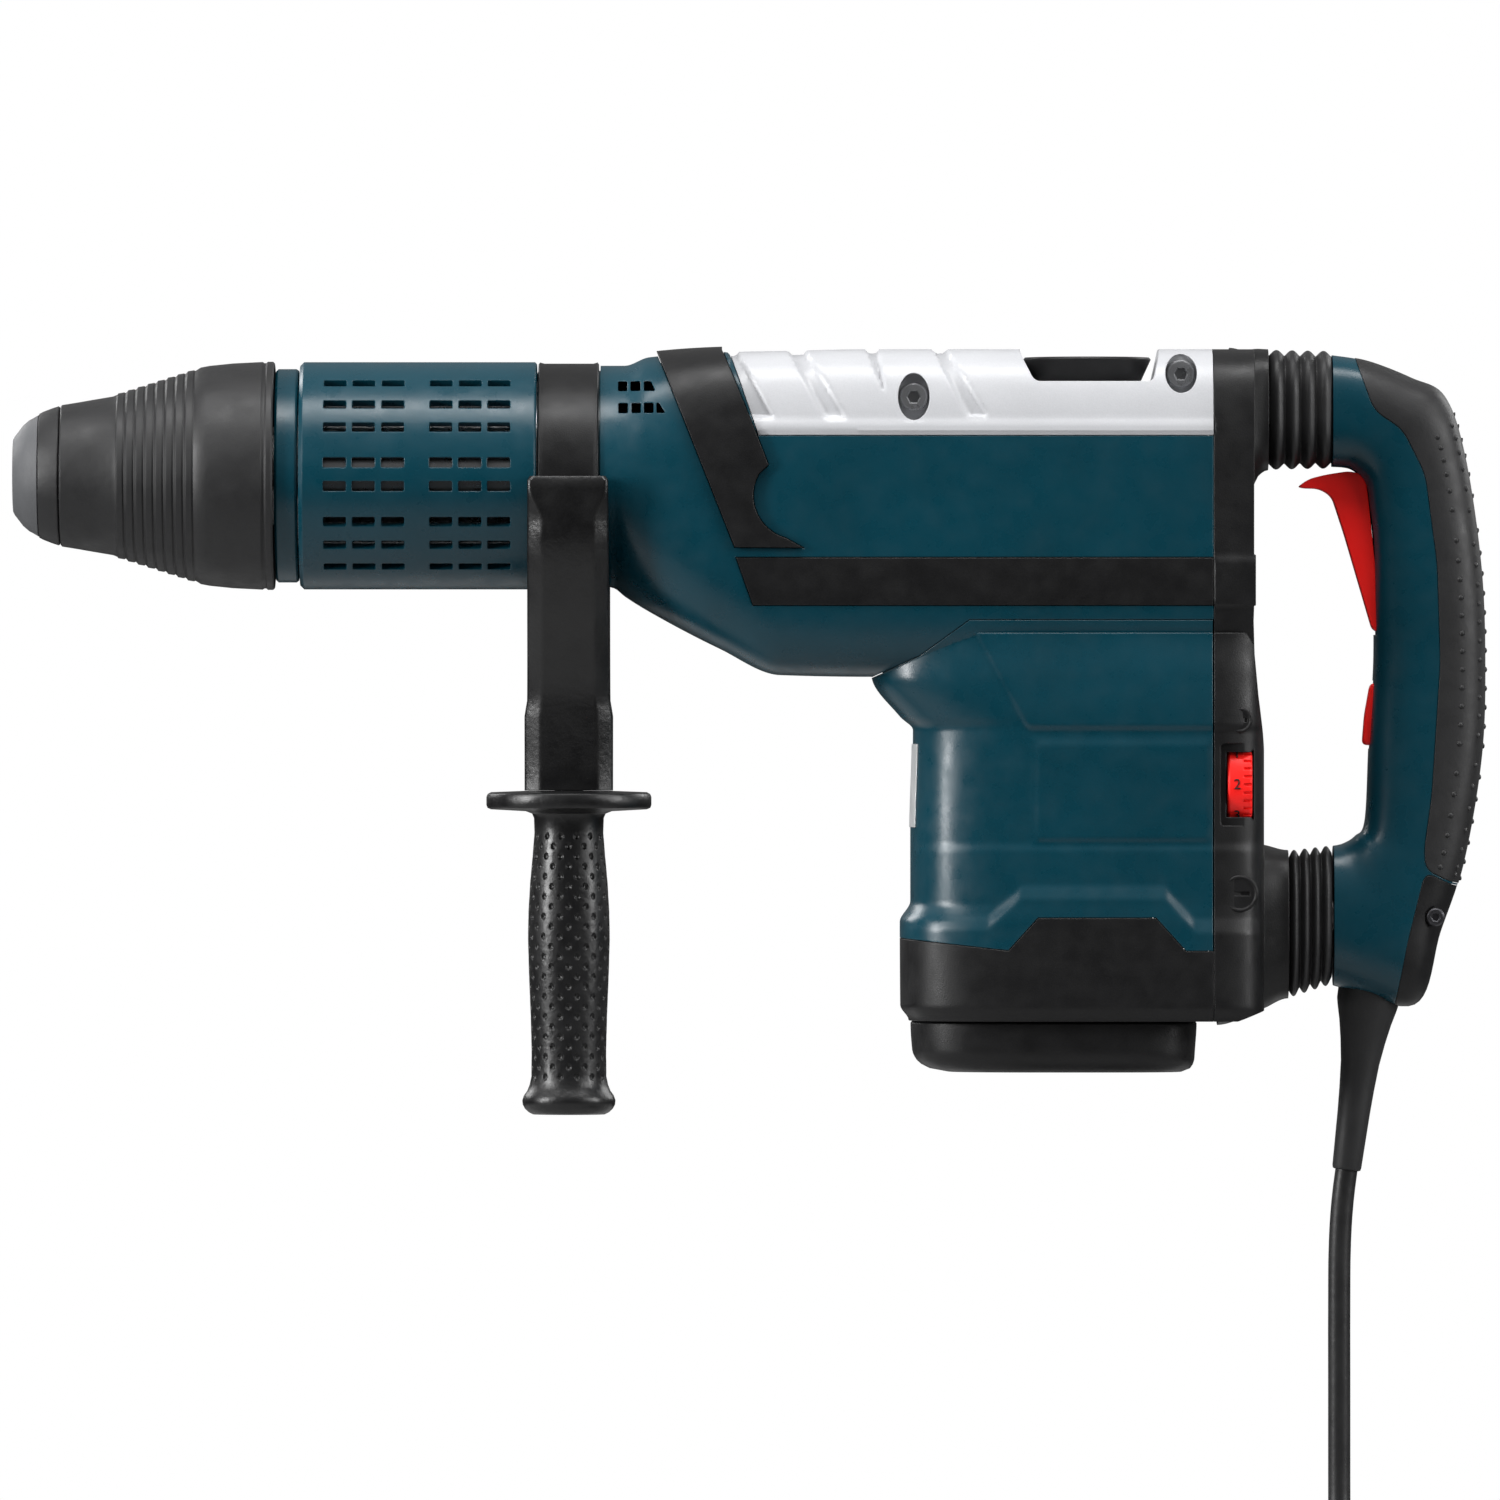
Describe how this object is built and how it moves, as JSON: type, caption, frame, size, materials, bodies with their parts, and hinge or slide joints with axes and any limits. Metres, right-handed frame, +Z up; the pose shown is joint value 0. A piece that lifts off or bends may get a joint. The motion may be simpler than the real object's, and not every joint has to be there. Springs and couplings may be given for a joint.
{
  "type": "rotary hammer",
  "caption": "Corded rotary hammer: slotted barrel, locking nose sleeve, swivelling side handle, vertical motor, sprung D-shaped rear handle with trigger, coiled power cord.",
  "frame": {"origin": "on the spindle axis, at the middle of the side handle's clamp", "axes": "+X along the spindle from the nose to the rear handle, +Y to the tool's right, +Z up"},
  "size_m": [0.6147, 0.2042, 0.5334],
  "materials": {
    "teal_shell": "satin, fine moulded grain",
    "black_plastic": "fine spark texture",
    "black_rubber": "dull",
    "cast_aluminium": "satin, fine cast grain",
    "steel": "turned",
    "blackened_steel": "semi-gloss",
    "laminated_iron": "stacked sheets",
    "copper": "turned copper",
    "carbon": "matt",
    "red_plastic": "satin"
  },
  "bodies": {
    "housing": {"neck_ring": "teal_shell", "barrel_sleeve": "teal_shell", "barrel_tube": "cast_aluminium", "gear_housing": "teal_shell", "front_pad": "black_plastic", "top_cover": "cast_aluminium", "cover_screw_left_1": "steel", "cover_screw_left_2": "steel", "cover_screw_right_1": "steel", "cover_screw_right_2": "steel", "side_band_left": "black_plastic", "side_band_right": "black_plastic", "motor_housing": "teal_shell", "base_cover": "black_plastic", "base_foot": "black_plastic", "rear_frame": "black_plastic", "gearbox_floor": "cast_aluminium", "motor_bearing_upper": "steel", "motor_bearing_lower": "steel", "stator": "laminated_iron", "carbon_brush_left": "carbon", "carbon_brush_right": "carbon", "upper_bellows": "black_rubber", "lower_bellows": "black_rubber"},
    "spindle": {"nose_cap": "black_rubber", "tool_holder": "steel", "spindle_tube": "steel", "spindle_ring_gear": "steel", "locking_spring": "steel"},
    "locking_sleeve": {"locking_sleeve": "black_rubber"},
    "striking_pin": {"striking_pin": "steel"},
    "striker": {"striker": "steel"},
    "piston": {"piston": "cast_aluminium", "connecting_rod": "steel"},
    "crank": {"crank_gear": "steel"},
    "intermediate_shaft": {"intermediate_gear": "steel"},
    "armature": {"armature_shaft": "steel", "armature_core": "laminated_iron", "commutator": "copper", "motor_fan": "black_plastic"},
    "side_clamp": {"clamp_band": "blackened_steel", "saddle_block": "black_plastic", "clamp_bolt": "steel"},
    "side_grip": {"side_grip": "black_plastic"},
    "rear_handle": {"handle_shell_left": "teal_shell", "handle_shell_right": "teal_shell", "rear_grip_rubber": "black_rubber", "handle_end_cap": "black_plastic", "upper_guide_rod": "steel", "lower_guide_rod": "steel", "switch_block": "black_plastic", "strain_relief": "black_rubber", "cord_lead": "black_rubber", "cord_coil": "black_rubber", "cord_tail": "black_rubber", "power_plug": "black_rubber"},
    "trigger": {"trigger": "red_plastic"},
    "lock_button": {"lock_button": "red_plastic"},
    "speed_wheel": {"speed_wheel": "red_plastic"},
    "mode_knob": {"mode_knob": "black_plastic"}
  },
  "joints": [
    {"name": "spindle_turn", "type": "hinge", "parent": "housing", "child": "spindle", "pos_m": [0, 0, 0], "axis": [1, 0, 0], "continuous": true},
    {"name": "locking_sleeve_pull", "type": "slide", "parent": "spindle", "child": "locking_sleeve", "axis": [1, 0, 0], "range_m": [0, 0.009], "stiffness_N_per_m": 1500, "springref_m": -0.006, "deforming": ["locking_spring"]},
    {"name": "striking_pin_travel", "type": "slide", "parent": "spindle", "child": "striking_pin", "axis": [1, 0, 0], "range_m": [-0.008, 0]},
    {"name": "striker_travel", "type": "slide", "parent": "spindle", "child": "striker", "axis": [1, 0, 0], "range_m": [-0.0155, 0]},
    {"name": "piston_stroke", "type": "slide", "parent": "housing", "child": "piston", "axis": [1, 0, 0], "range_m": [-0.032, 0]},
    {"name": "crank_turn", "type": "hinge", "parent": "housing", "child": "crank", "pos_m": [0.152, 0, 0], "axis": [0, 0, 1], "continuous": true},
    {"name": "intermediate_shaft_turn", "type": "hinge", "parent": "housing", "child": "intermediate_shaft", "pos_m": [0.092, 0, 0], "axis": [0, 0, 1], "continuous": true},
    {"name": "motor_turn", "type": "hinge", "parent": "housing", "child": "armature", "pos_m": [0.2, 0, 0], "axis": [0, 0, 1], "continuous": true},
    {"name": "side_handle_swivel", "type": "hinge", "parent": "housing", "child": "side_clamp", "pos_m": [0, 0, 0], "axis": [1, 0, 0], "continuous": true},
    {"name": "side_grip_twist", "type": "hinge", "parent": "side_clamp", "child": "side_grip", "pos_m": [0, 0, -0.2], "axis": [0, 0, 1], "continuous": true},
    {"name": "rear_handle_damping", "type": "slide", "parent": "housing", "child": "rear_handle", "axis": [1, 0, 0], "range_m": [-0.008, 0], "stiffness_N_per_m": 12000, "springref_m": 0.002, "deforming": ["upper_bellows", "lower_bellows"]},
    {"name": "trigger_press", "type": "hinge", "parent": "rear_handle", "child": "trigger", "pos_m": [0.337, 0, -0.062], "axis": [0, 1, 0], "range_deg": [0, 5], "stiffness_Nm_per_rad": 4, "springref_deg": -1.72},
    {"name": "lock_button_press", "type": "hinge", "parent": "rear_handle", "child": "lock_button", "pos_m": [0.338, 0, -0.0866], "axis": [0, -1, 0], "range_deg": [0, 6], "stiffness_Nm_per_rad": 0.6, "springref_deg": -1.72},
    {"name": "speed_wheel_turn", "type": "hinge", "parent": "housing", "child": "speed_wheel", "pos_m": [0.2794, -0.03, -0.129], "axis": [1, 0, 0], "range_deg": [-150, 150]},
    {"name": "mode_knob_turn", "type": "hinge", "parent": "housing", "child": "mode_knob", "pos_m": [0.2165, 0, 0.04], "axis": [0, 0, 1], "range_deg": [-60, 60]}
  ],
  "couplings": [
    {"joint": "intermediate_shaft_turn", "follows": "spindle_turn", "ratio": -4},
    {"joint": "crank_turn", "follows": "spindle_turn", "ratio": 2},
    {"joint": "motor_turn", "follows": "spindle_turn", "ratio": -10}
  ]
}
